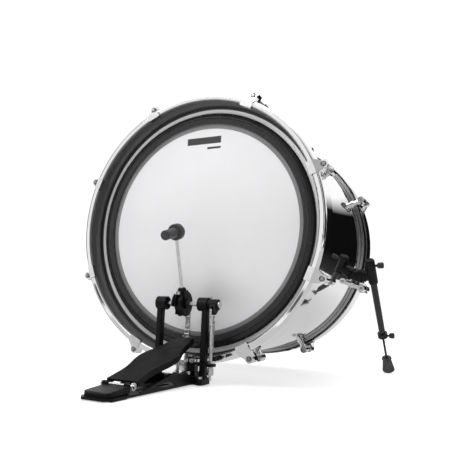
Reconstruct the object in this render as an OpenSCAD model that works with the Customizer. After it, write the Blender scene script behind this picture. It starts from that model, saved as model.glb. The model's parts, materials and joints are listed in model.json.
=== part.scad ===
// Bass drum on two folding spurs, with a single kick pedal clamped to its batter hoop.
// X runs to the player's right, Y away from the player, Z up.
// The origin is on the floor, under the middle of the whole assembly.
// Drum depths (names starting y_) are measured from the front of the batter hoop.

/* [Drum] */
// Outside diameter of the shell, a 22 inch drum
shell_d = 558.8; // [550:0.2:566]
// Length of the shell between its bearing edges, a 14 inch drum
shell_len = 356; // [340:1:420]
// Height of the drum's axis above the floor
axis_h = 326; // [322:0.5:330]
// Angle of the lower side claws below horizontal
low_claw = 21.5; // [21:0.5:23]

/* [Hoops and heads] */
// Outside diameter of the hoops
hoop_d = 584; // [583:0.5:586]
// Width of the hoops along the drum
hoop_w = 50; // [49:0.5:52]
// Thickness of the hoops' sheet metal
hoop_sheet = 1.8; // [1.5:0.1:2]
// Inside diameter of the damping ring on the batter head
ring_d = 452; // [440:2:460]

/* [Spurs] */
// Sweep of the spur legs away from the player, from straight down
spur_sweep = 33; // [30:1:35]
// Splay of the spur legs out to the sides
spur_splay = 3.5; // [2:0.5:5]
// Diameter of the outer leg tube
spur_tube_d = 16; // [14:0.5:17]

/* [Pedal] */
// Height of the pedal's axle above the floor
axle_h = 158; // [154:1:162]
// Distance between the middles of the two posts
post_gap = 106; // [104:1:110]
// Distance from the axle to the middle of the beater
beater_reach = 149; // [145:1:152]
// Lean of the beater towards the player at rest
beater_lean = 17.6; // [16:0.2:19]
// Length of the footboard along its slope
board_len = 228; // [224:1:230]
// Pitch radius of the chain on its cam
cam_r = 22; // [21:0.5:23]

/* [Hidden] */
$fn = 64;
gap = 0.3;
shell_r = shell_d / 2;
wrap_t = 0.8;
ply_t = 6.5;
film_t = 0.3;
hoop_r = hoop_d / 2;
hoop_in = hoop_r - 15.5;
y_edge = hoop_w - 8;
drum_len = shell_len + 2 * y_edge;
edge_r = shell_r - 2.2;
rod_r = 304;
bore_y = [69, drum_len - 69];
// The bottom pair stands a little wider, to leave room for the pedal
claw_angles = [22, 65.5, 114.5, 158, 180 + low_claw, 243, 297, 360 - low_claw];

// Spurs: a local frame with the leg along -Z, its origin beside the fold pivot
pivot_y = 365;
pivot_z = -80;
leg_x = 310;
foot_r = 16;
tread_r = 24;
leg_dir = [cos(spur_sweep) * sin(spur_splay), sin(spur_sweep), -cos(spur_sweep) * cos(spur_splay)];
foot_s = (axis_h + pivot_z - tread_r) / -leg_dir[2];
rim_s = foot_s + sqrt(tread_r * tread_r - foot_r * foot_r);
tube_end = 168;
collar_h = 12;
bracket_r = 16;
rotor_r = 15;

// Pedal: the axle, hinge and chain
axle_y = -20;
hinge_y = -225;
hinge_z = 19;
board_x = 4.5;
board_slope = 16.8;
board_t = 4;
board_rim = 10;
heel_y = -292;
chain_x = 0;
chain_pitch = 8;
hub_x = -10.6;
spring_x = 74;
spring_y = axle_y - 10;
hook_z = axle_h - 14;

// The whole assembly is centred between the heel plate and the spur feet
y_back = pivot_y + rim_s * leg_dir[1] + foot_r * sqrt(1 - leg_dir[1] * leg_dir[1]);
y_shift = -(heel_y + y_back) / 2;

// ---------- placing ----------

// Places children given in drum coordinates: origin on the axis at the batter hoop's front
module in_drum() {
    translate([0, y_shift, axis_h]) children();
}

// Places children given in pedal coordinates: like the drum's, but Z from the floor
module in_pedal() {
    translate([0, y_shift, 0]) children();
}

// Revolves a profile of [radius, depth] points about the drum's axis
module around_drum(fine = 256) {
    in_drum() rotate([-90, 0, 0]) rotate_extrude($fn = fine) children();
}

// The same profile, turned round for the resonant side
module far_side() {
    translate([0, drum_len]) mirror([0, 1]) children();
}

// Repeats children round the drum: local X is radial, Y along the drum, Z tangential
module at_claws() {
    in_drum() for (a = claw_angles) rotate([0, -a, 0]) children();
}

module at_far_claws() {
    at_claws() translate([0, drum_len, 0]) mirror([0, 1, 0]) children();
}

// A cylinder along +X and one along +Y, starting at the given point
module rod_x(p, r, h) {
    translate(p) rotate([0, 90, 0]) cylinder(r = r, h = h);
}

module rod_y(p, r, h) {
    translate(p) rotate([-90, 0, 0]) cylinder(r = r, h = h);
}

module tube_z(r, bore, h) {
    difference() {
        cylinder(r = r, h = h);
        translate([0, 0, -1]) cylinder(r = bore, h = h + 2);
    }
}

// ---------- shell and heads ----------

// Bores through the shell wall for the lug screws, spur bolts and vent
module shell_bores() {
    in_drum() {
        for (a = claw_angles, y = bore_y)
            rotate([0, -a, 0]) rod_x([shell_r - 20, y, 0], 2.75, 40);
        for (s = [-1, 1])
            translate([s * (shell_r - 35), pivot_y, pivot_z])
                rotate([0, s * 90, 0]) cylinder(r = 4.3, h = 40);
        rotate([0, -180, 0]) rod_x([shell_r - 20, drum_len / 2, 0], 7.1, 40);
    }
}

module shell() {
    in_r = shell_r - wrap_t - ply_t;
    out_r = shell_r - wrap_t;
    cut = edge_r - in_r;
    color("burlywood") difference() {
        around_drum() polygon([
            [in_r, y_edge + cut], [edge_r, y_edge], [out_r, y_edge + out_r - edge_r],
            [out_r, y_edge + shell_len - out_r + edge_r],
            [edge_r, y_edge + shell_len], [in_r, y_edge + shell_len - cut]
        ]);
        shell_bores();
    }
}

module shell_wrap() {
    wrap_edge = 4;
    color("silver") difference() {
        around_drum()
            translate([shell_r - wrap_t, y_edge + wrap_edge]) square([wrap_t, shell_len - 2 * wrap_edge]);
        shell_bores();
    }
}

module vent_grommet() {
    color("silver") in_drum() rotate([0, -180, 0])
        translate([shell_r - wrap_t - ply_t - 3, drum_len / 2, 0])
            rotate([0, 90, 0]) rotate_extrude()
                polygon([
                    [5, 0], [10, 0], [10, 1.6], [7.1, 3],
                    [7.1, 10.5], [11, 10.7], [10, 12.5], [5, 12.5]
                ]);
}

// Sheet-metal channel hoop: rolled front, inner wall, and a seat that presses on the head
module hoop_profile() {
    out_round = 6;
    in_round = 4;
    seat_in = 281.8;
    seat_y = 40;
    t = hoop_sheet;
    difference() {
        union() {
            translate([hoop_in, in_round]) square([15.5, seat_y - in_round]);
            translate([hoop_in + in_round, 0]) square([15.5 - in_round - out_round, seat_y]);
            translate([hoop_in + in_round, in_round]) circle(r = in_round);
            difference() {
                translate([hoop_r - out_round, out_round]) circle(r = out_round);
                translate([hoop_r - out_round, out_round]) square(out_round);
            }
            translate([hoop_r - out_round, out_round]) square([out_round, hoop_w - out_round]);
            translate([seat_in, seat_y - t]) square([hoop_r - seat_in, hoop_w - seat_y + t]);
        }
        // the corner outside the rolled front
        difference() {
            translate([hoop_r - out_round, -1]) square([out_round + 1, out_round + 1]);
            translate([hoop_r - out_round, out_round]) circle(r = out_round);
        }
        // the hollow inside the channel, open at the back
        translate([hoop_in + t, out_round]) square([15.5 - 2 * t, seat_y - t - out_round]);
        translate([hoop_in + out_round, t]) square([15.5 - 2 * out_round, out_round]);
        translate([hoop_in + out_round, out_round]) circle(r = out_round - t);
        translate([hoop_r - out_round, out_round]) circle(r = out_round - t);
        translate([seat_in + t, out_round]) square([hoop_r - seat_in - 2 * t, hoop_w]);
    }
}

module batter_hoop() {
    color("silver") around_drum() hoop_profile();
}

module reso_hoop() {
    color("silver") around_drum() far_side() hoop_profile();
}

// Film drawn over the bearing edge and down to the flesh hoop
collar_in = shell_r + 0.35;
module head_profile() {
    t = film_t;
    bend = y_edge + 2.5;
    polygon([
        [0, y_edge - t], [edge_r + 0.15, y_edge - t], [collar_in + t, bend - 0.1],
        [collar_in + t, hoop_w + 8], [collar_in, hoop_w + 8], [collar_in, bend],
        [edge_r, y_edge], [0, y_edge]
    ]);
}

module batter_head() {
    color("white") around_drum() head_profile();
}

module reso_head() {
    color("white") around_drum() far_side() head_profile();
}

module flesh_hoop_profile() {
    translate([collar_in + film_t, hoop_w]) square([6.4, 10]);
}

module batter_flesh_hoop() {
    color("gainsboro") around_drum() flesh_hoop_profile();
}

module reso_flesh_hoop() {
    color("gainsboro") around_drum() far_side() flesh_hoop_profile();
}

// ---------- damping ring on the batter head ----------

ring_r = ring_d / 2;
y_film = y_edge - film_t;
foam_in = ring_r + 9;
foam_out = foam_in + 14;
retainer_out = foam_out + 12;
base_t = 1.2;

module damping_ring_base() {
    color("gray") around_drum()
        translate([ring_r, y_film - base_t]) square([retainer_out - ring_r, base_t]);
}

module damping_foam_ring() {
    foam_h = 7;
    color("#3a3a3a") around_drum()
        translate([foam_in + gap, y_film - base_t - foam_h]) square([foam_out - foam_in - 2 * gap, foam_h]);
}

module foam_retaining_ring() {
    wall_h = 7.4;
    wall_t = 2;
    color("#161616") around_drum()
        polygon([
            [foam_out, y_film - base_t], [retainer_out, y_film - base_t],
            [retainer_out, y_film - base_t - 1.5], [retainer_out - 4, y_film - base_t - 5.5],
            [foam_out + wall_t, y_film - base_t - wall_h], [foam_out, y_film - base_t - wall_h]
        ]);
}

// ---------- claws, rods and lugs ----------

claw_back = 34;
module claw() {
    front = -3.5;
    difference() {
        union() {
            intersection() {
                linear_extrude(height = 28, center = true) polygon([
                    [hoop_in - 2.6, front], [287, front], [311, 18], [311, claw_back],
                    [297, claw_back], [hoop_r + gap, 27], [hoop_r + gap, 5.6], [290.8, 1.6],
                    [287, -0.15], [hoop_in - 0.55, -0.15], [hoop_in - 0.55, 6], [hoop_in - 2.6, 6]
                ]);
                rotate([0, 90, 0]) translate([0, 0, hoop_in - 5]) linear_extrude(height = 50)
                    polygon([[-14, -4], [14, -4], [14, 8], [8.5, 25], [8.5, 35],
                             [-8.5, 35], [-8.5, 25], [-14, 8]]);
                // ear narrowing towards the rod
                rotate([90, 0, 0]) linear_extrude(height = 90, center = true)
                    polygon([[hoop_in - 9, -14], [291.5, -14], [303, -8.5], [313, -8.5],
                             [313, 8.5], [303, 8.5], [291.5, 14], [hoop_in - 9, 14]]);
            }
            rod_y([rod_r, 10.5, 0], 8.5, claw_back - 10.5);
        }
        rod_y([rod_r, -10, 0], 5.6, 30);
        rod_y([rod_r, 10, 0], 3.3, 40);
    }
}

module batter_claws() {
    color("silver") at_claws() claw();
}

module reso_claws() {
    color("silver") at_far_claws() claw();
}

// Key-headed tension rod: square head, collar and threaded shank
module tension_rod() {
    key = 6.2;
    translate([rod_r, 8.5, 0]) rotate([-90, 0, 0]) {
        translate([-key / 2, -key / 2, 0]) cube([key, key, 7]);
        translate([0, 0, 7]) cylinder(r = 5, h = 2.8);
        translate([0, 0, 9.8]) cylinder(r = 3, h = 66);
    }
}

module batter_tension_rods() {
    color("silver") at_claws() tension_rod();
}

module reso_tension_rods() {
    color("silver") at_far_claws() tension_rod();
}

module rod_washer() {
    translate([rod_r, 18.35, 0]) rotate([-90, 0, 0]) tube_z(5.3, 3.2, 1.6);
}

module rod_washers() {
    color("dimgray") {
        at_claws() rod_washer();
        at_far_claws() rod_washer();
    }
}

// Round single-point lug: a foot shaped to the shell, a neck and a barrel for the rod
module lug(y) {
    difference() {
        union() {
            rod_x([shell_r - 4, y, 0], 9.5, 8);
            rod_x([shell_r - 1, y, 0], 7, 22);
            rod_y([rod_r, y - 11, 0], 8.5, 22);
        }
        translate([0, y - 30, 0]) rotate([-90, 0, 0]) cylinder(r = shell_r, h = 60, $fn = 256);
        rod_y([rod_r, y - 20, 0], 3.02, 40);
        rod_x([shell_r - 10, y, 0], 2.52, 24);
    }
}

module lugs() {
    color("silver") in_drum() for (a = claw_angles, y = bore_y)
        rotate([0, -a, 0]) lug(y);
}

module lug_screw(y) {
    in_r = shell_r - wrap_t - ply_t;
    difference() {
        rod_x([in_r - 4.5, y, 0], 4.5, 4);
        rod_x([in_r - 6, y, 0], 2, 3.5);
    }
    rod_x([in_r - 1, y, 0], 2.5, 19);
}

module lug_screws() {
    color("silver") in_drum() for (a = claw_angles, y = bore_y)
        rotate([0, -a, 0]) lug_screw(y);
}

// ---------- spurs ----------

// Puts right-hand children on either side of the drum
module on_side(s) {
    if (s > 0) in_drum() children();
    else in_drum() mirror([1, 0, 0]) children();
}

// The leg's own frame: -Z runs down the leg from the fold pivot's height
module along_leg() {
    translate([leg_x, pivot_y, pivot_z])
        rotate([0, -spur_splay, 0]) rotate([spur_sweep, 0, 0]) children();
}

bracket_face = 286;
module spur_brackets() {
    teeth = 20;
    color("#141414") for (s = [-1, 1]) on_side(s) difference() {
        union() {
            rod_x([250, pivot_y, pivot_z], bracket_r - 3, bracket_face - 250);
            rod_x([bracket_face - 9, pivot_y, pivot_z], bracket_r, 9);
        }
        translate([0, pivot_y - 40, 0]) rotate([-90, 0, 0]) cylinder(r = shell_r, h = 80, $fn = 256);
        rod_x([240, pivot_y, pivot_z], 4.02, 60);
        for (i = [0 : teeth - 1])
            translate([bracket_face, pivot_y, pivot_z]) rotate([i * 360 / teeth, 0, 0])
                translate([-1.2, -0.8, bracket_r - 5]) cube([2, 1.6, 7]);
    }
}

module spur_pivot_bolts() {
    bolt_in = 248;
    color("silver") for (s = [-1, 1]) on_side(s) {
        rod_x([bolt_in, pivot_y, pivot_z], 4, bracket_face + 12 - bolt_in);
        translate([bolt_in - 5, pivot_y, pivot_z]) rotate([0, 90, 0]) cylinder(r = 7.5, h = 5, $fn = 6);
        translate([bracket_face + 8.4, pivot_y, pivot_z]) rotate([0, 90, 0])
            cylinder(r = 6.5, h = 3.6, $fn = 6);
    }
}

// Swivelling arm: a disc on the bracket, and the sleeve that holds the leg tube
sleeve_top = 45;
sleeve_low = 18;
module spur_sleeve(s) {
    sleeve_r = 11.5;
    color("#141414") on_side(s) difference() {
        union() {
            rod_x([bracket_face + gap, pivot_y, pivot_z], rotor_r, 8);
            difference() {
                rod_x([bracket_face + gap, pivot_y, pivot_z], 12.5, 18);
                rod_x([bracket_face + gap + 8, pivot_y, pivot_z], 8, 20);
            }
            along_leg() {
                translate([0, 0, -sleeve_low]) cylinder(r = sleeve_r, h = sleeve_top + sleeve_low - 4);
                translate([0, 0, sleeve_top - 4]) cylinder(r = sleeve_r - 2, h = 4);
                translate([0, 0, sleeve_top - 4]) rotate_extrude() intersection() {
                    translate([sleeve_r - 4, 0]) circle(r = 4);
                    square([sleeve_r, 4]);
                }
            }
        }
        rod_x([bracket_face - 1, pivot_y, pivot_z], 4.05, 12.2);
        along_leg() {
            translate([0, 0, -sleeve_low - 1]) cylinder(r = spur_tube_d / 2 + 0.05, h = sleeve_low + 39);
            rod_x([0, 0, 28], 3.05, 20);
        }
    }
}

module spur_sleeve_right() {
    spur_sleeve(1);
}

module spur_sleeve_left() {
    spur_sleeve(-1);
}

module spur_tube(s) {
    color("#202020") on_side(s) along_leg() translate([0, 0, -tube_end]) difference() {
        union() {
            cylinder(r = spur_tube_d / 2, h = tube_end + 36);
            translate([0, 0, tube_end - sleeve_low - 3]) cylinder(r = 10.2, h = 2.6);
        }
        translate([0, 0, -1]) cylinder(r = 4.05, h = tube_end + 30);
    }
}

module spur_tube_right() {
    spur_tube(1);
}

module spur_tube_left() {
    spur_tube(-1);
}

// Ribbed clamping collar at the end of the tube
module spur_collar(s) {
    color("#202020") on_side(s) along_leg() translate([0, 0, -tube_end - collar_h]) difference() {
        union() {
            cylinder(r = 11, h = collar_h);
            for (z = [0, 4.6, 9.2]) translate([0, 0, z]) cylinder(r = 12.5, h = 2.8);
        }
        translate([0, 0, -1]) cylinder(r = 3.08, h = collar_h - 3);
        translate([0, 0, collar_h - 6]) cylinder(r = spur_tube_d / 2 + 0.02, h = 10);
        rod_x([0, 0, 3.3], 2.55, 20);
    }
    color("#202020") on_side(s) along_leg() translate([0, 0, -tube_end - 6])
        difference() {
            cylinder(r = spur_tube_d / 2, h = 5.9);
            translate([0, 0, -1]) cylinder(r = 3.08, h = 8);
        }
}

module spur_collar_right() {
    spur_collar(1);
}

module spur_collar_left() {
    spur_collar(-1);
}

module spur_rod(s) {
    rod_up = 100;
    color("#303030") on_side(s) along_leg() {
        translate([0, 0, -foot_s]) cylinder(r = 3, h = foot_s - tube_end + rod_up);
        translate([0, 0, -tube_end + rod_up - 4]) cylinder(r = 3.95, h = 4);
    }
}

module spur_rod_right() {
    spur_rod(1);
}

module spur_rod_left() {
    spur_rod(-1);
}

module spur_foot(s) {
    cone_h = 34;
    color("#1c1c1c") on_side(s) along_leg() difference() {
        union() {
            translate([0, 0, -rim_s]) cylinder(r1 = foot_r, r2 = 10.5, h = cone_h);
            translate([0, 0, cone_h - rim_s]) cylinder(r = 12.5, h = 3);
            // domed tread
            intersection() {
                translate([0, 0, -foot_s]) sphere(r = tread_r, $fn = 96);
                translate([0, 0, -rim_s - 10]) cylinder(r = foot_r, h = 10.5);
            }
        }
        translate([0, 0, -foot_s]) cylinder(r = 3.02, h = 40);
    }
}

module spur_foot_right() {
    spur_foot(1);
}

module spur_foot_left() {
    spur_foot(-1);
}

// Thumb knob with a threaded stud, its axis along X
module thumb_knob(p, stud_r, stud, r, h) {
    flutes = 8;
    translate(p) rotate([0, 90, 0]) {
        cylinder(r = stud_r, h = stud + 2);
        translate([0, 0, stud]) difference() {
            union() {
                cylinder(r = r - 1.5, h = h);
                translate([0, 0, 3]) cylinder(r = r, h = h - 4);
            }
            for (i = [0 : flutes - 1]) rotate([0, 0, i * 360 / flutes])
                translate([r + 0.9, 0, -1]) cylinder(r = 2, h = h + 2);
        }
    }
}

module sleeve_knob(s) {
    color("#141414") on_side(s) along_leg() thumb_knob([8.3, 0, 28], 3, 8, 7.5, 15);
}

module sleeve_knob_right() {
    sleeve_knob(1);
}

module sleeve_knob_left() {
    sleeve_knob(-1);
}

module collar_knob(s) {
    color("#141414") on_side(s) along_leg()
        thumb_knob([4, 0, -tube_end - collar_h + 3.3], 2.5, 12.2, 7.2, 13);
}

module collar_knob_right() {
    collar_knob(1);
}

module collar_knob_left() {
    collar_knob(-1);
}

// ---------- pedal: the parts that stand still ----------

pad_t = 2;
base_top = 6;
yoke = 62;
clamp_y = -29;

module pedal_base() {
    color("#161616") in_pedal() difference() {
        union() {
            translate([0, 0, pad_t]) linear_extrude(height = base_top - pad_t) polygon([
                [-27, heel_y + 12], [-17, heel_y], [26, heel_y], [36, heel_y + 12], [37, -216],
                [39, -34], [39, 22], [-30, 22], [-30, -34], [-28, -216]
            ]);
            // arched side webs, rising from the plate towards the posts
            for (x = [-29, 35]) translate([x, 0, 0]) rotate([90, 0, 90]) linear_extrude(height = 3)
                difference() {
                    polygon([[-205, base_top - 1], [-205, base_top + 2], [-120, 26], [-60, 26],
                             [-36, 17], [-36, base_top - 1]]);
                    translate([-130, -58]) circle(r = 74, $fn = 128);
                }
            for (x = [-29, 35]) translate([x, -208, base_top - 1]) cube([3, 172, 3]);
            // lower jaw under the hoop
            translate([-22, 3, base_top - 1]) cube([44, 17, 16]);
        }
        // lightening slots
        for (x = [-12, 15]) {
            translate([x, -190, 0]) cylinder(r = 6, h = 20);
            translate([x, -90, 0]) cylinder(r = 6, h = 20);
            translate([x - 6, -190, 0]) cube([12, 100, 20]);
        }
        for (x = [-16, 24], y = [heel_y + 14, -236]) translate([x, y, 0]) cylinder(r = 2.6, h = 20);
        // room for the clamp jaw
        translate([-9.4, -38, base_top - 0.5]) cube([18.8, 42, 30]);
        translate([0, clamp_y, 0]) cylinder(r = 3.05, h = 20);
    }
}

module post_outline() {
    translate([-6.6, -4]) square([13.2, 8]);
    translate([-2.6, -8]) square([5.2, 16]);
    for (x = [-2.6, 2.6], y = [-4, 4]) translate([x, y]) circle(r = 4);
}

// Yoke across the base, two posts, and the bearing housings on top
module pedal_frame() {
    housing_r = 13.7;
    housing_w = 22;
    color("#141414") in_pedal() difference() {
        union() {
            difference() {
                translate([-yoke, -29, base_top]) cube([2 * yoke, 22, 9]);
                translate([-24, -40, base_top - 1]) cube([48, 60, 30]);
            }
            for (s = [-1, 1]) {
                translate([s * (yoke - 10) - 10, -29, pad_t]) cube([20, 22, 12]);
                // lug for the anchor screw
                translate([s * (yoke - 7), -36.5, pad_t]) cylinder(r = 6.5, h = 12);
                translate([s * (yoke - 7) - 6.5, -36.5, pad_t]) cube([13, 10, 12]);
                translate([s * post_gap / 2, axle_y, base_top])
                    linear_extrude(height = axle_h - base_top - 6) post_outline();
                rod_x([s * (38 + housing_w / 2) - housing_w / 2, axle_y, axle_h], housing_r, housing_w);
                // gusset where the post meets the yoke
                translate([s * post_gap / 2 - 5, axle_y - 11, base_top + 8])
                    rotate([90, 0, 90]) linear_extrude(height = 10)
                        polygon([[0, 0], [22, 0], [17, 22], [5, 22]]);
            }
            // arm that carries the spring
            translate([post_gap / 2 - 4, spring_y - 8, 38]) cube([14, 24, 6]);
            translate([post_gap / 2 - 4, spring_y - 8, 38]) cube([spring_x - post_gap / 2 + 12, 16, 6]);
        }
        for (s = [-1, 1]) {
            rod_x([s * 49 - 20, axle_y, axle_h], 6.2, 40);
            rod_x([s > 0 ? 45 : -53, axle_y, axle_h], 11, 8);
            rod_x([s > 0 ? 37 : -46, axle_y, axle_h], 11, 9);
            translate([s * 49, axle_y - 13, axle_h]) rotate([90, 0, 0]) cylinder(r = 1.6, h = 4);
            translate([s * (yoke - 7), -36.5, 0]) cylinder(r = 3.02, h = 40);
        }
        translate([spring_x, spring_y, 30]) cylinder(r = 3.3, h = 20);
    }
}

// Ball bearings: inner and outer races with balls between
module axle_bearings() {
    balls = 8;
    color("silver") in_pedal() for (s = [-1, 1])
        translate([s > 0 ? 45 : -53, axle_y, axle_h]) rotate([0, 90, 0]) {
            tube_z(11, 9, 7.9);
            tube_z(5.6, 4.05, 7.9);
            for (i = [0 : balls - 1]) rotate([0, 0, i * 360 / balls])
                translate([7.3, 0, 4]) sphere(r = 1.55, $fn = 32);
        }
}

module pedal_pads() {
    color("#242424") in_pedal() {
        for (x = [-20, 22]) translate([x - 5, heel_y + 14, 0]) cube([16, 40, pad_t]);
        for (s = [-1, 1]) translate([s * (yoke - 16) - 8, -29, 0]) cube([16, 22, pad_t]);
        translate([-25, -30, 0]) cube([60, 50, pad_t]);
        // pad between the lower jaw and the hoop
        difference() {
            translate([-21, 4, base_top + 15]) cube([42, 15, 16]);
            translate([0, -5, axis_h]) rotate([-90, 0, 0]) cylinder(r = hoop_r + 0.05, h = 40, $fn = 256);
            translate([-30, -1, axis_h - hoop_r + 1.5]) cube([60, 40, 20]);
        }
    }
}

module heel_plate() {
    front = heel_y + 7;
    back = hinge_y - 7;
    color("#181818") in_pedal() difference() {
        union() {
            intersection() {
                translate([-45, 0, 0]) rotate([90, 0, 90]) linear_extrude(height = 90) polygon([
                    [front, base_top], [front, 12], [front + 3, 14], [back, 18.5], [back, base_top]
                ]);
                linear_extrude(height = 30) {
                    translate([-13, front]) square([35, 40]);
                    translate([-21, front + 8]) square([51, back - front - 8]);
                    for (x = [-13, 22]) translate([x, front + 8]) circle(r = 8);
                }
            }
            for (x = [-27, 23]) rod_x([x, hinge_y, hinge_z], 5, 5);
            for (x = [-27, 23]) translate([x, hinge_y - 9, base_top + 1]) cube([5, 9, 9]);
        }
        // hollow underside
        translate([-11, front + 8, base_top - 1]) cube([31, 44, 5]);
        rod_x([-40, hinge_y, hinge_z], 2.52, 90);
        for (x = [-16, 24], y = [heel_y + 14, -236]) translate([x, y, 0]) cylinder(r = 2.6, h = 11);
    }
}

module heel_hinge_pin() {
    color("silver") in_pedal() {
        rod_x([-29, hinge_y, hinge_z], 2.5, 66);
        rod_x([-31, hinge_y, hinge_z], 4, 2.4);
        // pull ring at the free end
        translate([36.5, hinge_y - 4, hinge_z]) rotate([0, 90, 0]) tube_z(6.4, 4.4, 1.8);
    }
}

// Lower clamp hardware: the lever jaw, its pin and the wing screw
module clamp_jaw() {
    color("silver") in_pedal() difference() {
        union() {
            translate([-8, 0, 0]) rotate([90, 0, 90]) linear_extrude(height = 16) polygon([
                [-35, 15], [-35, 21], [-14, 24], [-10, 44], [-3, 56], [10, 56],
                [13, 53], [13, 50.4], [-1.2, 50.4], [-3.2, 48], [-3.2, 23], [-6, 15], [-14, 12.5]
            ]);
            translate([-15, 1.5, 50.4]) cube([30, 11.5, 4]);
        }
        rod_x([-20, -11, 19], 2.55, 40);
        translate([0, clamp_y, 0]) cylinder(r = 4.5, h = 60);
    }
}

module clamp_pin() {
    color("silver") in_pedal() {
        rod_x([-16, -11, 19], 2.5, 32);
        for (x = [-16.5, 14]) rod_x([x, -11, 19], 4.2, 2.5);
        // ears that carry the pin
        for (x = [-12.6, 9.6]) difference() {
            translate([x, -17, base_top]) cube([3, 12, 17]);
            rod_x([x - 1, -11, 19], 2.4, 5);
        }
    }
}

module clamp_screw() {
    color("silver") in_pedal() translate([0, clamp_y, 0]) {
        translate([0, 0, base_top - 4]) cylinder(r = 3, h = 36);
        translate([0, 0, base_top + 0.3]) cylinder(r = 6, h = 4);
        translate([0, 0, 34]) cylinder(r = 5, h = 8);
        for (s = [-1, 1]) translate([s * 7.5, 0, 41]) rotate([90, 0, 0]) difference() {
            translate([0, 0, -1.5]) cylinder(r = 5.5, h = 3);
            translate([0, 0, -3]) cylinder(r = 2.2, h = 6);
        }
    }
}

// Pointed anchor screws at the yoke's corners
module anchor_screws() {
    color("silver") in_pedal() for (s = [-1, 1]) translate([s * (yoke - 7), -36.5, 0]) {
        translate([0, 0, 1.5]) cylinder(r1 = 0.6, r2 = 3, h = 4);
        translate([0, 0, 5.5]) cylinder(r = 3, h = 12);
        translate([0, 0, 14.2]) cylinder(r = 5, h = 4);
    }
}

// ---------- pedal: footboard and chain ----------

// Half-width of the footboard along its length, eased between a few widths
board_at = [0, 50, 120, 185, board_len];
board_half = [31, 28.5, 40, 25, 16.8];
function ease(t) = (1 - cos(180 * t)) / 2;
function along(s, i) = (s - board_at[i]) / (board_at[i + 1] - board_at[i]);
function board_w(s, i = 0) = i >= 3 || s <= board_at[i + 1]
    ? board_half[i] + (board_half[i + 1] - board_half[i]) * ease(along(s, i))
    : board_w(s, i + 1);

module board_outline(inset = 0) {
    n = 24;
    first = 8 + inset;
    last = board_len - inset;
    s = [for (i = [0 : n]) first + (last - first) * i / n];
    polygon([
        for (v = s) [board_w(v) - inset, v],
        for (i = [n : -1 : 0]) [-board_w(s[i]) + inset, s[i]]
    ]);
}

module on_board() {
    translate([board_x, hinge_y, hinge_z]) rotate([board_slope, 0, 0]) children();
}

module footboard() {
    color("#1a1a1a") in_pedal() difference() {
        union() {
            on_board() {
                translate([0, 0, 1]) linear_extrude(height = board_t) board_outline();
                difference() {
                    translate([0, 0, board_t - board_rim]) linear_extrude(height = board_rim) difference() {
                        board_outline();
                        board_outline(3);
                    }
                    // clear of the hinge knuckles
                    translate([-60, -10, -20]) cube([120, 22, 22]);
                }
                // spine under the board
                translate([-2, 14, -4]) cube([4, board_len - 30, 6]);
            }
            for (x = [-21.7, 17.7]) {
                rod_x([x, hinge_y, hinge_z], 5, 5);
                translate([x, hinge_y - 1, hinge_z]) cube([5, 11, 4.6]);
            }
        }
        rod_x([-40, hinge_y, hinge_z], 2.55, 90);
    }
}

chain_y = axle_y + cam_r;
clevis_z = 88;
module toe_clevis() {
    color("silver") in_pedal() difference() {
        union() {
            for (x = [chain_x - 7.6, chain_x + 5.6])
                translate([x, chain_y - 5, clevis_z - 5]) cube([2, 10, 10]);
            translate([chain_x - 7.6, chain_y - 5, clevis_z - 6]) cube([15.2, 10, 2]);
            translate([chain_x - 7.6, chain_y - 22, clevis_z - 6]) cube([15.2, 18, 2]);
        }
        on_board() translate([-60, 0, -20]) cube([120, board_len + 0.3, 25.2]);
    }
    color("silver") in_pedal() rod_x([chain_x - 8.6, chain_y, clevis_z], 1.5, 17.2);
}

// One chain link between two pins, standing along Z from the lower pin
module chain_link(outer) {
    x = outer ? 4.4 : 3.1;
    for (s = outer ? [-1, 1] : [-1, 0, 1]) translate([s * x - 0.55, 0, 0]) {
        translate([0, -2.6, 0]) cube([1.1, 5.2, chain_pitch]);
        for (z = [0, chain_pitch]) rod_x([0, 0, z], 3.1, 1.1);
    }
}

module chain_roller() {
    rod_x([-5.4, 0, 0], 1.2, 10.8);
    for (x = [-2.3, 0.8]) rod_x([x, 0, 0], 2.5, 1.5);
}

run_links = 8;
module chain_run() {
    color("silver") in_pedal() translate([chain_x, chain_y, clevis_z]) difference() {
        union() {
            for (i = [0 : run_links - 1]) translate([0, 0, i * chain_pitch]) chain_link(i % 2 == 1);
            for (i = [1 : run_links]) translate([0, 0, i * chain_pitch]) chain_roller();
        }
        rod_x([-9, 0, 0], 1.55, 18);
        translate([-10, -10, run_links * chain_pitch + 1.2]) cube(20);
    }
}

// ---------- pedal: everything that turns with the axle ----------

module on_axle() {
    in_pedal() translate([0, axle_y, axle_h]) children();
}

wrap_links = 3;
module cam_chain() {
    step = 2 * asin(chain_pitch / 2 / cam_r);
    color("silver") on_axle() for (i = [0 : wrap_links - 1]) rotate([i * step - 3, 0, 0])
        translate([chain_x, cam_r, 0]) {
            rotate([step / 2, 0, 0]) chain_link(i % 2 == 0);
            chain_roller();
        }
}

module axle() {
    flats = 8;
    corner_r = flats / 2 / cos(30);
    color("silver") on_axle() {
        translate([-44.8, 0, 0]) rotate([0, 90, 0]) cylinder(r = corner_r, h = 89.6, $fn = 6);
        rod_x([-55, 0, 0], 4, 112);
        translate([53.2, 0, 0]) rotate([0, 90, 0]) cylinder(r = corner_r, h = 29, $fn = 6);
        rod_x([81.6, 0, 0], 7, 2.6);
    }
}

module hex_bore(x, h) {
    translate([x, 0, 0]) rotate([0, 90, 0]) cylinder(r = 4.03 / cos(30), h = h, $fn = 6);
}

// Leaning frame of the beater: +Z along its rod
module leaning() {
    rotate([beater_lean, 0, 0]) children();
}

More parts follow.
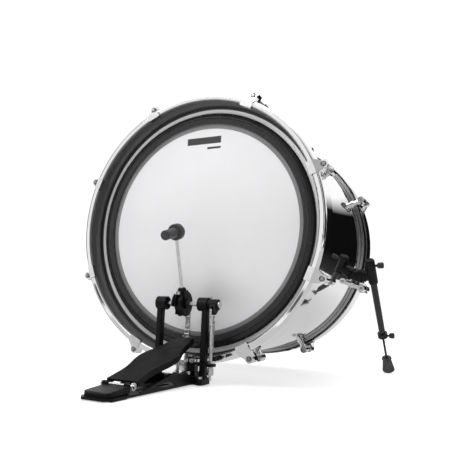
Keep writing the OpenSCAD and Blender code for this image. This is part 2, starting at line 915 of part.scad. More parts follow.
module beater_hub() {
    color("#151515") on_axle() difference() {
        union() {
            // collars on the axle, either side of the chain
            rod_x([-15, 0, 0], 13, 7.4);
            rod_x([7.6, 0, 0], 11, 5);
            leaning() {
                for (x = [-9.4, 7.4]) translate([x, -8, 0]) cube([2, 16, 27]);
                translate([-9.4, -7, 20.5]) cube([18.8, 14, 6.5]);
                translate([0, 0, 20.5]) cylinder(r = 8.6, h = 10);
                translate([0, 0, 30.5]) cylinder(r1 = 8.6, r2 = 6.4, h = 3);
            }
            // horned guard beside the hub
            translate([-15, 0, 0]) rotate([90, 0, 90]) linear_extrude(height = 2.4) difference() {
                circle(r = 23);
                translate([-17, -17]) circle(r = 11);
                translate([4, 24]) circle(r = 17);
            }
        }
        hex_bore(-20, 40);
        leaning() translate([0, 0, 18]) cylinder(r = 3.52, h = 40);
        leaning() translate([0, 0, 26]) rotate([90, 0, 0]) cylinder(r = 2.02, h = 20);
        translate([hub_x, -20, 4]) rotate([-90, 0, 0]) cylinder(r = 2.02, h = 17);
    }
}

// Lock screws: one holds the rod, the others hold the hub and the rocker on the axle
module lock_screws() {
    color("silver") on_axle() {
        leaning() translate([0, -3.6, 26]) rotate([90, 0, 0]) {
            cylinder(r = 2, h = 9);
            translate([-3, -3, 6]) cube([6, 6, 5]);
        }
        translate([hub_x, -4.1, 4]) rotate([90, 0, 0]) cylinder(r = 2, h = 10.5);
        translate([64.5, 0, 4.7]) cylinder(r = 2, h = 11.4);
    }
}

module chain_cam() {
    flange_r = 26;
    inner = chain_x - 6.9;
    outer = chain_x + 5.5;
    color("#151515") on_axle() difference() {
        union() {
            for (x = [inner, outer]) translate([x, 0, 0]) rotate([90, 0, 90])
                linear_extrude(height = 1.4) difference() {
                    circle(r = flange_r);
                    translate([-22, -20]) circle(r = 13);
                }
            rod_x([inner, 0, 0], cam_r - 3.4, outer - inner + 1.4);
        }
        hex_bore(-20, 40);
        // clear of the rod and its holder
        leaning() translate([-20, -9.5, 17.5]) cube([40, 19, 30]);
        leaning() translate([0, 0, 6]) cylinder(r = 3.6, h = 40);
    }
}

// Fork that pulls on the spring, clamped to the axle's end
module rocker() {
    pin_y = spring_y - axle_y;
    pin_z = hook_z - axle_h;
    color("#151515") on_axle() difference() {
        union() {
            rod_x([61, 0, 0], 11, 20);
            translate([spring_x - 6, 0, 0]) rotate([90, 0, 90]) linear_extrude(height = 12) {
                polygon([[-10.5, 2], [-16, -14.5], [-10, -20], [-5.5, -18.5], [8, -7]]);
                translate([pin_y, pin_z]) circle(r = 6);
            }
        }
        hex_bore(60, 30);
        translate([64.5, 0, 3]) cylinder(r = 2.02, h = 20);
        // slot for the hook's eye
        translate([spring_x - 2.6, -32, -40]) cube([5.2, 33.8, 35]);
        translate([spring_x - 2.6, -32, -40]) cube([5.2, 27.8, 36.6]);
        rod_x([spring_x + 2, pin_y, pin_z], 1.9, 20);
        rod_x([spring_x - 10, pin_y, pin_z], 1.9, 8);
    }
    color("#151515") on_axle() rod_x([spring_x - 6, pin_y, pin_z], 1.9, 12);
}

// ---------- pedal: spring ----------

spring_low = 78;
spring_high = 119;
module tension_spring() {
    color("silver") in_pedal() translate([spring_x, spring_y, spring_low])
        tube_z(5.2, 3.4, spring_high - spring_low);
}

// Eye and nut between the rocker's fork and the spring; the eye is slotted for the fork's swing
module spring_hook() {
    color("silver") in_pedal() translate([spring_x, spring_y, 0]) {
        translate([-2.2, 0, 0]) difference() {
            union() {
                translate([0, -9.4, hook_z - 5.5]) cube([4.4, 12.8, 11]);
                translate([0, -3.5, spring_high + 16]) cube([4.4, 7, hook_z - spring_high - 16]);
            }
            translate([-1, -6.6, hook_z - 2.45]) cube([8, 7, 4.9]);
            for (y = [-6.6, 0.4]) rod_x([-1, y, hook_z], 2.45, 8);
        }
        translate([0, 0, spring_high + gap]) cylinder(r = 5.6, h = 7, $fn = 6);
        translate([0, 0, spring_high + 7]) cylinder(r = 3.2, h = 10);
        translate([0, 0, spring_high + 12]) cylinder(r = 4.6, h = 4.5);
    }
}

// Threaded rod below the spring, with its end disc and lock nut
module spring_rod() {
    color("silver") in_pedal() translate([spring_x, spring_y, 0]) {
        translate([0, 0, 12]) cylinder(r = 3, h = spring_low + 8 - 12);
        translate([0, 0, spring_low - 5]) cylinder(r = 5.2, h = 4.7);
        translate([0, 0, 44.3]) cylinder(r = 6, h = 5, $fn = 6);
    }
}

module spring_nut() {
    color("silver") in_pedal() translate([spring_x, spring_y, 0]) difference() {
        union() {
            translate([0, 0, 22]) cylinder(r = 7, h = 13);
            translate([0, 0, 35]) cylinder(r = 5, h = 2.7);
        }
        translate([0, 0, 10]) cylinder(r = 3.03, h = 50);
    }
}

// ---------- pedal: beater ----------

module beater_rod() {
    rod_from = 8;
    color("silver") on_axle() leaning()
        translate([0, 0, rod_from]) cylinder(r = 3.5, h = beater_reach - rod_from + 5);
}

// Hammer-shaped beater: a round face to the drum, a cylinder to the player
module beater_head() {
    tail_r = 10.2;
    color("#1b1b1b") on_axle() leaning() translate([0, 0, beater_reach]) difference() {
        union() {
            rod_y([0, -4, 0], 17, 12);
            rod_y([0, 8, 0], 14.5, 2.5);
            rod_y([0, -6.5, 0], 14.5, 3);
            rod_y([0, -42, 0], tail_r, 42);
            rod_y([0, -44, 0], tail_r - 2, 4);
            translate([0, 0, -14]) cylinder(r = 7, h = 14);
        }
        translate([0, 0, -20]) cylinder(r = 3.52, h = 25.2);
    }
}

shell();
shell_wrap();
vent_grommet();
batter_hoop();
reso_hoop();
batter_head();
reso_head();
batter_flesh_hoop();
reso_flesh_hoop();
damping_ring_base();
damping_foam_ring();
foam_retaining_ring();
batter_claws();
reso_claws();
batter_tension_rods();
reso_tension_rods();
rod_washers();
lugs();
lug_screws();
spur_brackets();
spur_pivot_bolts();
spur_sleeve_right();
spur_sleeve_left();
spur_tube_right();
spur_tube_left();
spur_collar_right();
spur_collar_left();
spur_rod_right();
spur_rod_left();
spur_foot_right();
spur_foot_left();
sleeve_knob_right();
sleeve_knob_left();
collar_knob_right();
collar_knob_left();
pedal_base();
pedal_frame();
axle_bearings();
pedal_pads();
heel_plate();
heel_hinge_pin();
footboard();
toe_clevis();
chain_run();
cam_chain();
axle();
beater_hub();
lock_screws();
chain_cam();
rocker();
tension_spring();
spring_hook();
spring_rod();
spring_nut();
beater_rod();
beater_head();
clamp_jaw();
clamp_pin();
clamp_screw();
anchor_screws();
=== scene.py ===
import json
import math

import bmesh
import bpy
from mathutils import Matrix, Vector, noise


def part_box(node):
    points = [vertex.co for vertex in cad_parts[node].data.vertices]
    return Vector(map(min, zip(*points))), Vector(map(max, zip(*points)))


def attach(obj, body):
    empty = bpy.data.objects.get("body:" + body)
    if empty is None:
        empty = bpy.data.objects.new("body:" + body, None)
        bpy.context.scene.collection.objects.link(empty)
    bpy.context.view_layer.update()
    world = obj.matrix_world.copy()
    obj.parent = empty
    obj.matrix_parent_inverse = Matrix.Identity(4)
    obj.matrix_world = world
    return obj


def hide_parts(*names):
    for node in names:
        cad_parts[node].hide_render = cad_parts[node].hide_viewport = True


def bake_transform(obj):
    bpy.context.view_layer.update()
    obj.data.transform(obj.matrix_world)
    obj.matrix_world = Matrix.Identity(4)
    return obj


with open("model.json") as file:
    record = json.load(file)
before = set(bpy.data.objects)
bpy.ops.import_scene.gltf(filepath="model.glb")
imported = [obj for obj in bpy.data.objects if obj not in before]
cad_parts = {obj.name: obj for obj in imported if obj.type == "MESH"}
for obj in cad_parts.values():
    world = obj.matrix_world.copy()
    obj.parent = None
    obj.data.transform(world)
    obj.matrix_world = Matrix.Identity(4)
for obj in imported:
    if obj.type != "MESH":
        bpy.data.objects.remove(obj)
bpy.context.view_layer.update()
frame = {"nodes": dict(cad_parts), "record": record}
NODES = frame["nodes"]

# The drum's own frame: its axis at the front of the batter hoop
hoop_lo, hoop_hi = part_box("batter_hoop")
FRONT_Y = hoop_lo.y
AXIS_Z = (hoop_lo.z + hoop_hi.z) / 2
MM = 0.001

# Radii from the drum's axis in metres: where the hoop's inner wall starts (rougher, and painted
# darker as shade) and where the head film's painted crease shade starts
HOOP_WALL = (0.2782, 0.2790)
HEAD_CREASE_SHADE = (0.2700, 0.2708)

# Printed mark on the batter head: a bar and a short line, in millimetres
MARK_X, MARK_Z = -5, 199
BAR_HALF = (0.043, 0.008)
LINE_HALF = (0.017, 0.0024)
LINE_OFFSET = (0.026, -0.018)
INK_EDGE = 0.0004
MARK_DEPTH = 0.1

# Damping foam, in millimetres
FOAM_WIDTH = 13.4
FOAM_ROUND = 2.2
FOAM_CROWN = 0.15

# Beater: how far the rod leans towards the player, and the head's height up it
BEATER_LEAN = math.radians(17.6)
BEATER_UP = 0.149

# Tension spring
WIRE_R = 0.85 * MM
SPRING_TURNS = 22
STEPS_A_TURN = 28
WIRE_SIDES = 10

# Camera in the drum's frame: its place in millimetres and its turns in radians
CAMERA_AT = (557.52, -967.10, -172.77)
CAMERA_TURN = (("Z", 0.450616), ("X", 0.146538), ("Y", -0.0422307))
LENS_MM = 41.23
SENSOR_MM = 36

WHITE = (1, 1, 1, 1)
BLACK = (0, 0, 0, 1)


def drum(x, y, z):
    """A point given in the drum's frame, in millimetres."""
    return Vector((x * MM, FRONT_Y + y * MM, AXIS_Z + z * MM))


# ---------- material helpers ----------

def new_material(name):
    m = bpy.data.materials.new(name)
    m.use_nodes = True
    nt = m.node_tree
    return m, nt, nt.nodes["Principled BSDF"]


def node(nt, kind, **settings):
    n = nt.nodes.new(kind)
    for key, value in settings.items():
        setattr(n, key, value)
    return n


def feed(nt, socket, value):
    """Links a socket to another one, or sets it to a constant."""
    if isinstance(value, bpy.types.NodeSocket):
        nt.links.new(value, socket)
    else:
        socket.default_value = value


def object_coords(nt, scale=(1, 1, 1)):
    coords = node(nt, "ShaderNodeTexCoord")
    mapping = node(nt, "ShaderNodeMapping")
    mapping.inputs["Scale"].default_value = scale
    nt.links.new(coords.outputs["Object"], mapping.inputs["Vector"])
    return mapping.outputs["Vector"]


def axes_of(nt, vector):
    parts = node(nt, "ShaderNodeSeparateXYZ")
    nt.links.new(vector, parts.inputs["Vector"])
    return parts.outputs


def noise_tex(nt, vector, scale, detail=3.0, rough=0.55):
    n = node(nt, "ShaderNodeTexNoise")
    n.inputs["Scale"].default_value = scale
    n.inputs["Detail"].default_value = detail
    n.inputs["Roughness"].default_value = rough
    nt.links.new(vector, n.inputs["Vector"])
    return n.outputs["Fac"]


def ranged(nt, value, low, high, from_low=0.3, from_high=0.7):
    """Maps a value's range onto another one, and clamps it there."""
    n = node(nt, "ShaderNodeMapRange")
    n.inputs["From Min"].default_value = from_low
    n.inputs["From Max"].default_value = from_high
    n.inputs["To Min"].default_value = low
    n.inputs["To Max"].default_value = high
    nt.links.new(value, n.inputs["Value"])
    return n.outputs["Result"]


def mixed(nt, factor, a, b, data_type="RGBA"):
    n = node(nt, "ShaderNodeMix", data_type=data_type)
    feed(nt, n.inputs["A"], a)
    feed(nt, n.inputs["B"], b)
    feed(nt, n.inputs["Factor"], factor)
    return n.outputs["Result"]


def combined(nt, a, b, operation):
    n = node(nt, "ShaderNodeMath", operation=operation)
    feed(nt, n.inputs[0], a)
    feed(nt, n.inputs[1], b)
    return n.outputs[0]


def bumped(nt, shader, height, strength, distance, before=None):
    n = node(nt, "ShaderNodeBump")
    n.inputs["Strength"].default_value = strength
    n.inputs["Distance"].default_value = distance
    nt.links.new(height, n.inputs["Height"])
    if before is not None:
        nt.links.new(before, n.inputs["Normal"])
    nt.links.new(n.outputs["Normal"], shader.inputs["Normal"])
    return n.outputs["Normal"]


def grey(v):
    return (v, v, v * 1.01, 1)


def radius_from_axis(nt, vector):
    """Distance from the drum's axis, in metres."""
    flat = node(nt, "ShaderNodeVectorMath", operation="MULTIPLY")
    nt.links.new(vector, flat.inputs[0])
    flat.inputs[1].default_value = (1, 0, 1)
    off = node(nt, "ShaderNodeVectorMath", operation="DISTANCE")
    nt.links.new(flat.outputs["Vector"], off.inputs[0])
    off.inputs[1].default_value = (0, 0, AXIS_Z)
    return off.outputs["Value"]


# ---------- materials ----------

def finish_of(name, dark, light, rough, metal=0.0, tone_scale=18, grain=900, bump=0.15,
              depth=0.00008, specular=0.5):
    """A surface with slow colour variation, uneven gloss and a fine grain."""
    m, nt, s = new_material(name)
    vector = object_coords(nt)
    tone = ranged(nt, noise_tex(nt, vector, tone_scale, 5), 0, 1)
    feed(nt, s.inputs["Base Color"], mixed(nt, tone, dark, light))
    smudge = noise_tex(nt, vector, tone_scale * 2.6, 6, 0.65)
    feed(nt, s.inputs["Roughness"], ranged(nt, smudge, *rough))
    s.inputs["Metallic"].default_value = metal
    s.inputs["Specular IOR Level"].default_value = specular
    if bump:
        bumped(nt, s, noise_tex(nt, vector, grain, 2), bump, depth)
    return m


def hoop_plating():
    """Polished outside and bead; the inner wall is unpolished, and its darker colour is painted shade
    standing in for the dark it reflects.
    """
    m, nt, s = new_material("hoop_plating")
    vector = object_coords(nt)
    inner = ranged(nt, radius_from_axis(nt, vector), 1, 0, *HOOP_WALL)
    tone = ranged(nt, noise_tex(nt, vector, 14, 5), 0, 1)
    bright = mixed(nt, tone, grey(0.82), grey(0.89))
    # painted shade: the inner wall's colour is darkened to stand in for the dark it reflects
    shaded_wall = mixed(nt, tone, grey(0.25), grey(0.27))
    feed(nt, s.inputs["Base Color"], mixed(nt, inner, bright, shaded_wall))
    s.inputs["Metallic"].default_value = 1.0
    polished = ranged(nt, noise_tex(nt, vector, 36, 6, 0.65), 0.04, 0.07)
    satin = ranged(nt, noise_tex(nt, vector, 12, 3, 0.5), 0.38, 0.43)
    feed(nt, s.inputs["Roughness"], mixed(nt, inner, polished, satin, "FLOAT"))
    bumped(nt, s, noise_tex(nt, vector, 700, 2), 0.01, 0.00001)
    return m


def printed_mark(nt, axes):
    """One inside the plain bar and the short line under its right end."""
    def band(axis, middle, half):
        away = combined(nt, axes[axis], middle, "SUBTRACT")
        size = node(nt, "ShaderNodeMath", operation="ABSOLUTE")
        nt.links.new(away, size.inputs[0])
        return ranged(nt, size.outputs[0], 1, 0, half - INK_EDGE, half + INK_EDGE)

    def patch(x, z, half):
        return combined(nt, band("X", x, half[0]), band("Z", z, half[1]), "MULTIPLY")

    middle = drum(MARK_X, 0, MARK_Z)
    bar = patch(middle.x, middle.z, BAR_HALF)
    line = patch(middle.x + LINE_OFFSET[0], middle.z + LINE_OFFSET[1], LINE_HALF)
    batter_side = combined(nt, axes["Y"], FRONT_Y + MARK_DEPTH, "LESS_THAN")
    return combined(nt, combined(nt, bar, line, "MAXIMUM"), batter_side, "MULTIPLY")


def head_film():
    """Frosted film: a fine sprayed coat, a slow cloudiness and a small plain printed mark, with
    painted shade below the middle and in the crease by the hoop.
    """
    m, nt, s = new_material("frosted_film")
    vector = object_coords(nt)
    axes = axes_of(nt, vector)
    cloud = ranged(nt, noise_tex(nt, vector, 5, 4), 0, 1)
    # painted shade: the film's colour is darkened below the middle, where less light falls
    lower_shade = node(nt, "ShaderNodeVectorMath", operation="SCALE")
    feed(nt, lower_shade.inputs[0], mixed(nt, cloud, grey(0.79), grey(0.85)))
    feed(nt, lower_shade.inputs["Scale"], ranged(nt, axes["Z"], 0.91, 1.0, 0.33, 0.52))
    printed = mixed(nt, printed_mark(nt, axes), lower_shade.outputs[0], (0.02, 0.02, 0.021, 1))
    # painted shade: the film is darkened to near black in the crease beside the hoop
    crease_shade = ranged(nt, radius_from_axis(nt, vector), 0, 1, *HEAD_CREASE_SHADE)
    feed(nt, s.inputs["Base Color"], mixed(nt, crease_shade, printed, (0.03, 0.03, 0.031, 1)))
    feed(nt, s.inputs["Roughness"], ranged(nt, noise_tex(nt, vector, 60, 5), 0.38, 0.5))
    bumped(nt, s, noise_tex(nt, vector, 1500, 3), 0.25, 0.00006)
    return m


def foam():
    """Open-cell foam: small dark pores between lighter struts."""
    m, nt, s = new_material("ring_foam")
    vector = object_coords(nt)
    cells = node(nt, "ShaderNodeTexVoronoi", feature="F1")
    cells.inputs["Scale"].default_value = 620
    nt.links.new(vector, cells.inputs["Vector"])
    struts = ranged(nt, cells.outputs["Distance"], 0, 1, 0.15, 0.75)
    feed(nt, s.inputs["Base Color"], mixed(nt, struts, grey(0.012), grey(0.05)))
    s.inputs["Roughness"].default_value = 0.93
    s.inputs["Specular IOR Level"].default_value = 0.25
    s.inputs["Sheen Weight"].default_value = 0.15
    first = bumped(nt, s, struts, 0.6, 0.0004)
    bumped(nt, s, noise_tex(nt, vector, 240, 3), 0.3, 0.0004, first)
    return m


def felt():
    """Dense pressed felt: short tangled fibres and a slight sheen."""
    m, nt, s = new_material("beater_felt")
    vector = object_coords(nt)
    fibres = noise_tex(nt, vector, 750, 8, 0.75)
    clumps = noise_tex(nt, vector, 130, 4)
    tone = ranged(nt, fibres, 0, 1, 0.35, 0.65)
    feed(nt, s.inputs["Base Color"], mixed(nt, tone, grey(0.014), grey(0.042)))
    s.inputs["Roughness"].default_value = 0.9
    s.inputs["Sheen Weight"].default_value = 0.35
    s.inputs["Sheen Roughness"].default_value = 0.45
    first = bumped(nt, s, fibres, 0.7, 0.0003)
    bumped(nt, s, clumps, 0.3, 0.0005, first)
    return m


def maple():
    """Ply: long grain round the shell with thin growth lines."""
    m, nt, s = new_material("maple_ply")
    vector = object_coords(nt, (1, 14, 1))
    rings = noise_tex(nt, vector, 9, 6, 0.6)
    tone = ranged(nt, rings, 0, 1, 0.35, 0.65)
    feed(nt, s.inputs["Base Color"],
         mixed(nt, tone, (0.42, 0.27, 0.15, 1), (0.66, 0.48, 0.30, 1)))
    feed(nt, s.inputs["Roughness"], ranged(nt, rings, 0.35, 0.5))
    bumped(nt, s, rings, 0.1, 0.0002)
    return m


LOOKS = {
    "shell_wood": maple(),
    "shell_chrome": finish_of("mirror_shell", grey(0.84), grey(0.9), (0.015, 0.045), metal=1.0,
                              tone_scale=6, grain=2600, bump=0.03, depth=0.00002),
    "hoop_chrome": hoop_plating(),
    "hardware_chrome": finish_of("cast_plating", grey(0.72), grey(0.82), (0.06, 0.16), metal=1.0,
                                 tone_scale=60, grain=1200, bump=0.08, depth=0.00005),
    "head_film": head_film(),
    "flesh_hoop_metal": finish_of("flesh_hoop", grey(0.36), grey(0.44), (0.2, 0.28), metal=1.0,
                                  bump=0.0),
    "ring_grey": finish_of("ring_film", grey(0.19), grey(0.24), (0.35, 0.5), grain=1800,
                           bump=0.1, specular=0.3),
    "foam_grey": foam(),
    "ring_black": finish_of("ring_moulding", grey(0.01), grey(0.016), (0.2, 0.3), grain=1500,
                            bump=0.06, specular=0.4),
    "rod_steel": finish_of("plated_rod", grey(0.3), grey(0.4), (0.18, 0.32), metal=1.0,
                           tone_scale=80),
    "spur_black": finish_of("spur_casting", grey(0.005), grey(0.009), (0.24, 0.36), tone_scale=50,
                            grain=1400, bump=0.25, depth=0.0001, specular=0.16),
    "spur_dark_chrome": finish_of("dark_plating", grey(0.008), grey(0.014), (0.1, 0.2),
                                  tone_scale=40, grain=1800, bump=0.04),
    "foot_rubber": finish_of("foot_rubber", grey(0.03), grey(0.05), (0.6, 0.78), tone_scale=70,
                             grain=1100, bump=0.4, depth=0.00015),
    "knob_plastic": finish_of("knob_moulding", grey(0.014), grey(0.022), (0.3, 0.45),
                              tone_scale=90, grain=1500, bump=0.2),
    "pedal_black": finish_of("powder_coat", grey(0.004), grey(0.007), (0.3, 0.42), tone_scale=30,
                             grain=2200, bump=0.3, specular=0.13),
    "board_black": finish_of("board_coat", grey(0.005), grey(0.008), (0.42, 0.54), tone_scale=20,
                             grain=2400, bump=0.3, specular=0.09),
    "pedal_silver": finish_of("bright_steel", grey(0.55), grey(0.66), (0.16, 0.3), metal=1.0,
                              tone_scale=90, grain=1600, bump=0.08),
    "clamp_silver": finish_of("clamp_steel", grey(0.48), grey(0.6), (0.2, 0.36), metal=1.0,
                              tone_scale=70, grain=1500, bump=0.12),
    "pad_rubber": finish_of("pad_rubber", grey(0.025), grey(0.04), (0.65, 0.82), tone_scale=60,
                            grain=1000, bump=0.4, depth=0.00015),
    "chain_steel": finish_of("chain_plating", grey(0.42), grey(0.56), (0.2, 0.38), metal=1.0,
                             tone_scale=160, grain=1800, bump=0.12),
    "spring_steel": finish_of("spring_wire", grey(0.55), grey(0.66), (0.16, 0.28), metal=1.0,
                              tone_scale=140),
    "rod_chrome": finish_of("polished_rod", grey(0.72), grey(0.8), (0.05, 0.12), metal=1.0,
                            tone_scale=60, grain=2000, bump=0.03),
    "beater_felt": felt(),
}
for part in frame["record"]["subparts"]:
    data = NODES[part["node"]].data
    data.materials.clear()
    data.materials.append(LOOKS[part["material_slot"]])


# ---------- pieces ----------

def add_mesh(name, bm, look):
    bmesh.ops.recalc_face_normals(bm, faces=bm.faces)
    mesh = bpy.data.meshes.new(name)
    bm.to_mesh(mesh)
    bm.free()
    for face in mesh.polygons:
        face.use_smooth = True
    mesh.materials.append(LOOKS[look])
    obj = bpy.data.objects.new(name, mesh)
    bpy.context.scene.collection.objects.link(obj)
    return obj


def revolve(bm, profile, place, steps, closed=False, jitter=0.0, grain=300.0):
    """Turns a profile of (radius, along) points, in millimetres, about local Y."""
    rings = []
    for i in range(steps):
        a = 2 * math.pi * i / steps
        ring = []
        for radius, along in profile:
            p = place @ Vector((radius * math.cos(a) * MM, along * MM, radius * math.sin(a) * MM))
            dent = jitter * MM * (0.5 + 0.5 * noise.noise(p * grain))
            inward = place @ Vector((0, along * MM, 0)) - p
            if inward.length > 1e-7:
                p = p + inward.normalized() * dent
            ring.append(bm.verts.new(p))
        rings.append(ring)
    count = len(profile)
    for i in range(steps):
        a, b = rings[i], rings[(i + 1) % steps]
        for k in range(count if closed else count - 1):
            n = (k + 1) % count
            # no face between two points on the axis
            if profile[k][0] < 1e-4 and profile[n][0] < 1e-4:
                continue
            bm.faces.new((a[k], a[n], b[n], b[k]))
    bmesh.ops.remove_doubles(bm, verts=bm.verts, dist=1e-6)


def arc(cx, cy, r, start, end, steps=6):
    """Points on a round, its angles in degrees."""
    out = []
    for k in range(steps + 1):
        t = math.radians(start + (end - start) * k / steps)
        out.append((cx + r * math.cos(t), cy + r * math.sin(t)))
    return out


def foam_profile(inner, outer, front, back):
    """Flat at the back against the ring, with two soft corners and a crowned face between."""
    r = FOAM_ROUND
    points = [(inner, back)]
    points += arc(inner + r, front + r, r, 180, 270, 5)
    for k in range(1, 6):
        crown = FOAM_CROWN * math.sin(math.pi * k / 6)
        points.append((inner + r + (outer - inner - 2 * r) * k / 6, front + crown))
    points += arc(outer - r, front + r, r, 270, 360, 5)
    return points + [(outer, back)]


def foam_ring():
    """Foam of the damping ring."""
    lo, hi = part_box("damping_foam_ring")
    outer = (hi.x - lo.x) / 2 / MM
    profile = foam_profile(outer - FOAM_WIDTH, outer, (lo.y - FRONT_Y) / MM, (hi.y - FRONT_Y) / MM)
    bm = bmesh.new()
    revolve(bm, profile, Matrix.Translation(drum(0, 0, 0)), 720, closed=True, jitter=0.2, grain=160)
    piece = add_mesh("foam_ring", bm, "foam_grey")
    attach(piece, "drum")
    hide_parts("damping_foam_ring")


def felt_beater():
    """Beater head of pressed felt: a striking disc, a long tail and the boss round the rod."""
    lo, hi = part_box("axle")
    axle = Vector((0, (lo.y + hi.y) / 2, (lo.z + hi.z) / 2))
    place = (Matrix.Translation(axle) @ Matrix.Rotation(BEATER_LEAN, 4, "X")
             @ Matrix.Translation((0, 0, BEATER_UP)))
    down = Matrix.Rotation(math.radians(-90), 4, "X")
    tail = [(0.0, -43.9), (4.0, -43.8)] + arc(7.1, -40.8, 3.0, -90, 0)
    tail += [(10.1, y) for y in range(-38, -6, 4)]
    disc = [(10.1, -6.6)] + arc(13.9, -3.6, 3.0, -90, 0) + [(16.9, 0.5), (16.9, 4.5)]
    disc += arc(13.4, 6.4, 3.5, 0, 72) + [(9.0, 10.2), (4.0, 10.4), (0.0, 10.45)]
    boss = [(3.6, 14.0), (5.6, 14.0)] + arc(5.9, 12.6, 1.0, 70, 0, 3)
    boss += [(6.9, 9.0), (6.9, 4.0), (6.9, 0.0)]
    bm = bmesh.new()
    revolve(bm, tail + disc, place, 96, jitter=0.16, grain=420)
    revolve(bm, boss, place @ down, 64, jitter=0.1, grain=420)
    piece = add_mesh("felt_beater", bm, "beater_felt")
    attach(piece, "beater")
    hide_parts("beater_head")


def spring_coil():
    """Close-wound tension spring: an even helix of round wire, closed at both ends."""
    lo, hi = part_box("tension_spring")
    centre = Vector(((lo.x + hi.x) / 2, (lo.y + hi.y) / 2, 0))
    coil_r = (hi.x - lo.x) / 2 - WIRE_R
    low, high = lo.z + WIRE_R, hi.z - WIRE_R
    steps = SPRING_TURNS * STEPS_A_TURN
    bm = bmesh.new()
    last = None
    for i in range(steps + 1):
        a = 2 * math.pi * SPRING_TURNS * i / steps
        z = low + (high - low) * i / steps
        out = Vector((math.cos(a), math.sin(a), 0))
        ring = []
        for k in range(WIRE_SIDES):
            t = 2 * math.pi * k / WIRE_SIDES
            rise = Vector((0, 0, z + WIRE_R * math.sin(t)))
            ring.append(bm.verts.new(centre + out * (coil_r + WIRE_R * math.cos(t)) + rise))
        if last:
            for k in range(WIRE_SIDES):
                n = (k + 1) % WIRE_SIDES
                bm.faces.new((last[k], last[n], ring[n], ring[k]))
        else:
            bm.faces.new(ring)
        last = ring
    bm.faces.new(last[::-1])
    piece = add_mesh("spring_coil", bm, "spring_steel")
    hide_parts("tension_spring")
    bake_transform(piece)


foam_ring()
felt_beater()
spring_coil()


# ---------- studio ----------

def plane(name, corners, look):
    mesh = bpy.data.meshes.new(name)
    mesh.from_pydata(corners, [], [list(range(len(corners)))])
    mesh.materials.append(look)
    obj = bpy.data.objects.new(name, mesh)
    bpy.context.scene.collection.objects.link(obj)
    return obj


def ground(name, half, z, look):
    return plane(name, [(-half, -half, z), (half, -half, z), (half, half, z), (-half, half, z)], look)


def wall(name, start, end, low, high, look):
    """An upright card between two points on the floor."""
    return plane(name, [(*start, low), (*end, low), (*end, high), (*start, high)], look)


def reflection_only(obj):
    """A card that the camera and the room's light don't see: only mirrors do."""
    obj.visible_camera = False
    obj.visible_diffuse = False
    obj.visible_shadow = False
    obj.visible_transmission = False


def glow(name, strength=1.0):
    """A card that only gives off white light."""
    m, nt, s = new_material(name)
    s.inputs["Base Color"].default_value = BLACK
    s.inputs["Specular IOR Level"].default_value = 0
    s.inputs["Emission Color"].default_value = WHITE
    s.inputs["Emission Strength"].default_value = strength
    return m, nt, s


def graded_card():
    """Black with soft edges: a little light at its foot, fading to the backdrop's white on top."""
    m, nt, s = glow("graded_card")
    height = axes_of(nt, object_coords(nt))["Z"]
    foot = ranged(nt, height, 0.035, 0.004, 0.0, 0.3)
    head = ranged(nt, height, 0, 1.05, 0.86, 1.04)
    feed(nt, s.inputs["Emission Strength"], combined(nt, foot, head, "ADD"))
    return m


def graded_floor():
    """Pale floor, dimmer under the drum than beyond it."""
    m, nt, s = glow("pale_card")
    away = axes_of(nt, object_coords(nt))["Y"]
    feed(nt, s.inputs["Emission Strength"], ranged(nt, away, 0.62, 0.88, 0.5, 1.3))
    return m


def floor_paper():
    m = finish_of("studio_floor", grey(0.9), grey(0.92), (0.6, 0.7), tone_scale=2, bump=0.0)
    s = m.node_tree.nodes["Principled BSDF"]
    s.inputs["Emission Color"].default_value = WHITE
    s.inputs["Emission Strength"].default_value = 0.42
    return m


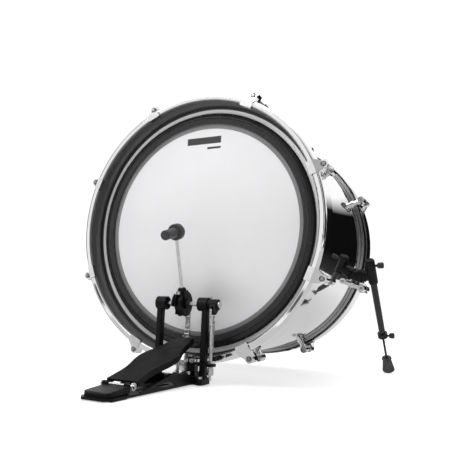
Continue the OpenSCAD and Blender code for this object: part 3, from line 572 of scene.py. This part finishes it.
ground("studio_floor", 30, 0, floor_paper())
white_card = glow("white_card", 0.95)[0]
for card in (
    wall("dark_card", (-0.7, 2), (3.2, 2), 0, 1.04, graded_card()),
    wall("side_card", (2.6, -0.9), (2.6, 1.2), 0, 0.9, glow("black_card", 0.006)[0]),
    ground("pale_floor", 4, 0.0005, graded_floor()),
    wall("white_left", (-3.2, -2.4), (0.1, -3.1), 0.3, 2.4, white_card),
    wall("white_right", (1.3, -3.0), (1.9, -2.8), 0.2, 2.4, white_card),
):
    reflection_only(card)


def studio_world():
    """A white backdrop behind the drum and a bright ceiling, with a dim room in front."""
    world = bpy.data.worlds.new("studio")
    world.use_nodes = True
    sky = world.node_tree
    background = sky.nodes["Background"]
    background.inputs["Color"].default_value = WHITE
    towards = node(sky, "ShaderNodeTexCoord")
    axes = axes_of(sky, towards.outputs["Generated"])
    behind = ranged(sky, axes["Y"], 0.09, 1.05, -0.2, 0.25)
    above = ranged(sky, axes["Z"], 0.09, 0.95, 0.45, 0.9)
    lit = combined(sky, behind, above, "MAXIMUM")
    # the camera itself sees plain white from every side
    path = node(sky, "ShaderNodeLightPath")
    seen = combined(sky, path.outputs["Is Camera Ray"], lit, "MAXIMUM")
    feed(sky, background.inputs["Strength"], seen)
    return world


def area(name, place, towards, size, power):
    data = bpy.data.lights.new(name, "AREA")
    data.shape = "RECTANGLE"
    data.size, data.size_y = size
    data.energy = power
    obj = bpy.data.objects.new(name, data)
    obj.location = place
    facing = Vector(towards) - Vector(place)
    obj.rotation_euler = facing.to_track_quat("-Z", "Y").to_euler()
    bpy.context.scene.collection.objects.link(obj)


def add_camera():
    lens = bpy.data.cameras.new("camera")
    lens.sensor_width = SENSOR_MM
    lens.lens = LENS_MM
    eye = bpy.data.objects.new("camera", lens)
    pose = Matrix.Translation(drum(*CAMERA_AT))
    for axis, angle in CAMERA_TURN:
        pose = pose @ Matrix.Rotation(angle, 4, axis)
    # a camera looks down its own -Z, so it is tipped up to look along +Y
    eye.matrix_world = pose @ Matrix.Rotation(math.pi / 2, 4, "X")
    bpy.context.scene.collection.objects.link(eye)
    bpy.context.scene.camera = eye


bpy.context.scene.world = studio_world()
area("top", (-0.3, -0.4, 3.2), (0, 0.1, 0.2), (3.5, 2.4), 36)
area("key", (-0.9, -1.7, 1.9), (0, 0, 0.45), (1.2, 0.9), 17)
add_camera()
bpy.context.scene.view_settings.view_transform = "Standard"
